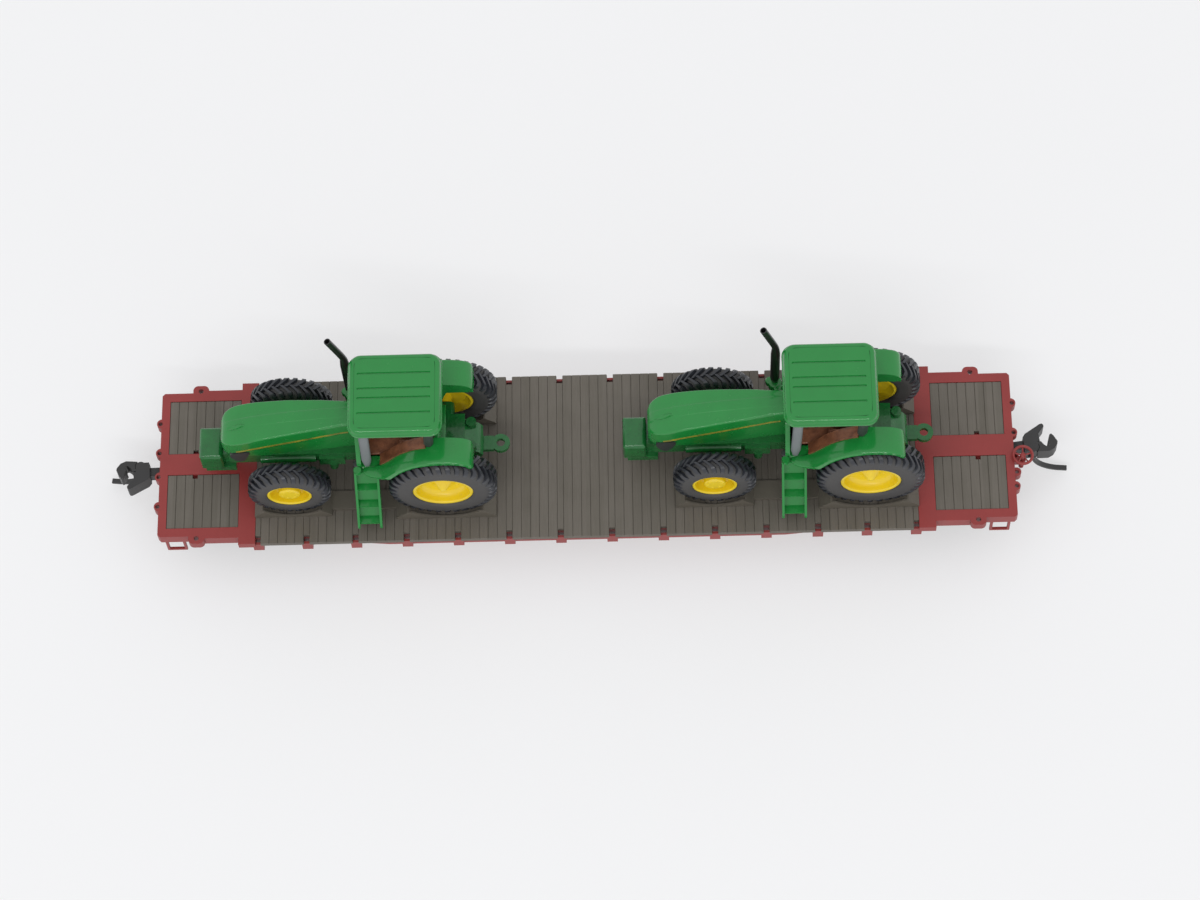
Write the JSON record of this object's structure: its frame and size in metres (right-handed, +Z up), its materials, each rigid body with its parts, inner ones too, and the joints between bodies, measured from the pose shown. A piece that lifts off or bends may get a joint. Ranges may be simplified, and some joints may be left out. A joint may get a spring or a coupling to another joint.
{
  "type": "model flat car",
  "caption": "Model railway flat car on swivelling trucks, with knuckle couplers, handbrake wheel and tractors held in wheel cradles on its plank deck.",
  "frame": {"origin": "middle of the car, at the foot of the wheel flanges", "axes": "+X along the car to the handbrake end, +Y across to the side away from the cab steps, +Z up"},
  "size_m": [0.1157, 0.021, 0.0299],
  "materials": {
    "frame_red": "satin oxide red moulding",
    "deck_brown": "matt brown-grey plank moulding",
    "weight_steel": "rolled sheet",
    "screw_steel": "plated",
    "brake_gear_red": "satin oxide red moulding",
    "truck_plastic": "satin black moulding",
    "wheel_plastic": "satin dark brown moulding",
    "coupler_black": "satin black moulding",
    "spring_bronze": "drawn bronze strip",
    "tractor_green": "glossy green paint",
    "cab_grey": "satin grey paint",
    "cab_brown": "copper-brown paint",
    "exhaust_black": "semi-gloss black",
    "rim_yellow": "glossy yellow",
    "tyre_rubber": "matt blue-grey"
  },
  "bodies": {
    "car": {"underframe": "frame_red", "main_deck": "deck_brown", "end_panel_1": "deck_brown", "end_panel_2": "deck_brown", "end_panel_3": "deck_brown", "end_panel_4": "deck_brown", "ballast_plate": "weight_steel", "draft_box_a": "frame_red", "draft_box_b": "frame_red", "draft_lid_a": "frame_red", "draft_lid_b": "frame_red", "draft_screw_a": "screw_steel", "draft_screw_b": "screw_steel", "sill_steps": "frame_red", "brake_cylinder": "brake_gear_red", "air_reservoir": "brake_gear_red", "control_valve": "brake_gear_red", "truck_a_pin": "truck_plastic", "truck_b_pin": "truck_plastic", "coupler_a_spring": "spring_bronze", "coupler_b_spring": "spring_bronze", "load_1_cradle": "deck_brown", "load_2_cradle": "deck_brown"},
    "handbrake": {"brake_wheel": "frame_red", "brake_staff": "frame_red"},
    "truck_a": {"truck_a_frame": "truck_plastic"},
    "truck_b": {"truck_b_frame": "truck_plastic"},
    "wheelset_1": {"wheelset_1": "wheel_plastic"},
    "wheelset_2": {"wheelset_2": "wheel_plastic"},
    "wheelset_3": {"wheelset_3": "wheel_plastic"},
    "wheelset_4": {"wheelset_4": "wheel_plastic"},
    "coupler_a": {"coupler_a_head": "coupler_black", "coupler_a_trip": "coupler_black"},
    "knuckle_a": {"coupler_a_knuckle": "coupler_black"},
    "coupler_b": {"coupler_b_head": "coupler_black", "coupler_b_trip": "coupler_black"},
    "knuckle_b": {"coupler_b_knuckle": "coupler_black"},
    "load_1": {"load_1_body": "tractor_green", "load_1_roof": "tractor_green", "load_1_cab": "cab_grey", "load_1_interior": "cab_brown", "load_1_chassis": "tractor_green", "load_1_exhaust": "exhaust_black", "load_1_steps": "tractor_green"},
    "load_1_front_axle": {"load_1_front_wheels": "rim_yellow", "load_1_front_tyres": "tyre_rubber"},
    "load_1_rear_axle": {"load_1_rear_wheels": "rim_yellow", "load_1_rear_tyres": "tyre_rubber"},
    "load_2": {"load_2_body": "tractor_green", "load_2_roof": "tractor_green", "load_2_cab": "cab_grey", "load_2_interior": "cab_brown", "load_2_chassis": "tractor_green", "load_2_exhaust": "exhaust_black", "load_2_steps": "tractor_green"},
    "load_2_front_axle": {"load_2_front_wheels": "rim_yellow", "load_2_front_tyres": "tyre_rubber"},
    "load_2_rear_axle": {"load_2_rear_wheels": "rim_yellow", "load_2_rear_tyres": "tyre_rubber"}
  },
  "joints": [
    {"name": "truck_a_swivel", "type": "hinge", "parent": "car", "child": "truck_a", "pos_m": [-0.04035, 0, 0.0052], "axis": [0, 0, 1], "range_deg": [-12, 12]},
    {"name": "truck_b_swivel", "type": "hinge", "parent": "car", "child": "truck_b", "pos_m": [0.04035, 0, 0.0052], "axis": [0, 0, 1], "range_deg": [-12, 12]},
    {"name": "wheelset_1_spin", "type": "hinge", "parent": "truck_b", "child": "wheelset_1", "pos_m": [0.04585, 0, 0.0032], "axis": [0, 1, 0], "continuous": true},
    {"name": "wheelset_2_spin", "type": "hinge", "parent": "truck_b", "child": "wheelset_2", "pos_m": [0.03485, 0, 0.0032], "axis": [0, 1, 0], "continuous": true},
    {"name": "wheelset_3_spin", "type": "hinge", "parent": "truck_a", "child": "wheelset_3", "pos_m": [-0.03485, 0, 0.0032], "axis": [0, 1, 0], "continuous": true},
    {"name": "wheelset_4_spin", "type": "hinge", "parent": "truck_a", "child": "wheelset_4", "pos_m": [-0.04585, 0, 0.0032], "axis": [0, 1, 0], "continuous": true},
    {"name": "coupler_a_swing", "type": "hinge", "parent": "car", "child": "coupler_a", "pos_m": [-0.0475, 0, 0.00575], "axis": [0, 0, 1], "range_deg": [-12, 8]},
    {"name": "coupler_b_swing", "type": "hinge", "parent": "car", "child": "coupler_b", "pos_m": [0.0475, 0, 0.00575], "axis": [0, 0, 1], "range_deg": [-9, 3]},
    {"name": "knuckle_a_open", "type": "hinge", "parent": "coupler_a", "child": "knuckle_a", "pos_m": [-0.05347, 0.00041, 0.00575], "axis": [0, 0, 1], "range_deg": [-25, 0]},
    {"name": "knuckle_b_open", "type": "hinge", "parent": "coupler_b", "child": "knuckle_b", "pos_m": [0.05348, 0.00011, 0.00575], "axis": [0, 0, 1], "range_deg": [-25, 0]},
    {"name": "handbrake_turn", "type": "hinge", "parent": "car", "child": "handbrake", "pos_m": [0.05195, -0.00165, 0.0083], "axis": [0, 0, 1], "continuous": true},
    {"name": "load_1_lift", "type": "slide", "parent": "car", "child": "load_1", "axis": [0, 0, 1], "range_m": [0, 0.03]},
    {"name": "load_1_front_spin", "type": "hinge", "parent": "load_1", "child": "load_1_front_axle", "pos_m": [-0.03473, 0, 0.013], "axis": [0, 1, 0], "continuous": true},
    {"name": "load_1_rear_spin", "type": "hinge", "parent": "load_1", "child": "load_1_rear_axle", "pos_m": [-0.01653, 0, 0.01445], "axis": [0, 1, 0], "continuous": true},
    {"name": "load_2_lift", "type": "slide", "parent": "car", "child": "load_2", "axis": [0, 0, 1], "range_m": [0, 0.03]},
    {"name": "load_2_front_spin", "type": "hinge", "parent": "load_2", "child": "load_2_front_axle", "pos_m": [0.01528, 0, 0.013], "axis": [0, 1, 0], "continuous": true},
    {"name": "load_2_rear_spin", "type": "hinge", "parent": "load_2", "child": "load_2_rear_axle", "pos_m": [0.03348, 0, 0.01445], "axis": [0, 1, 0], "continuous": true}
  ]
}
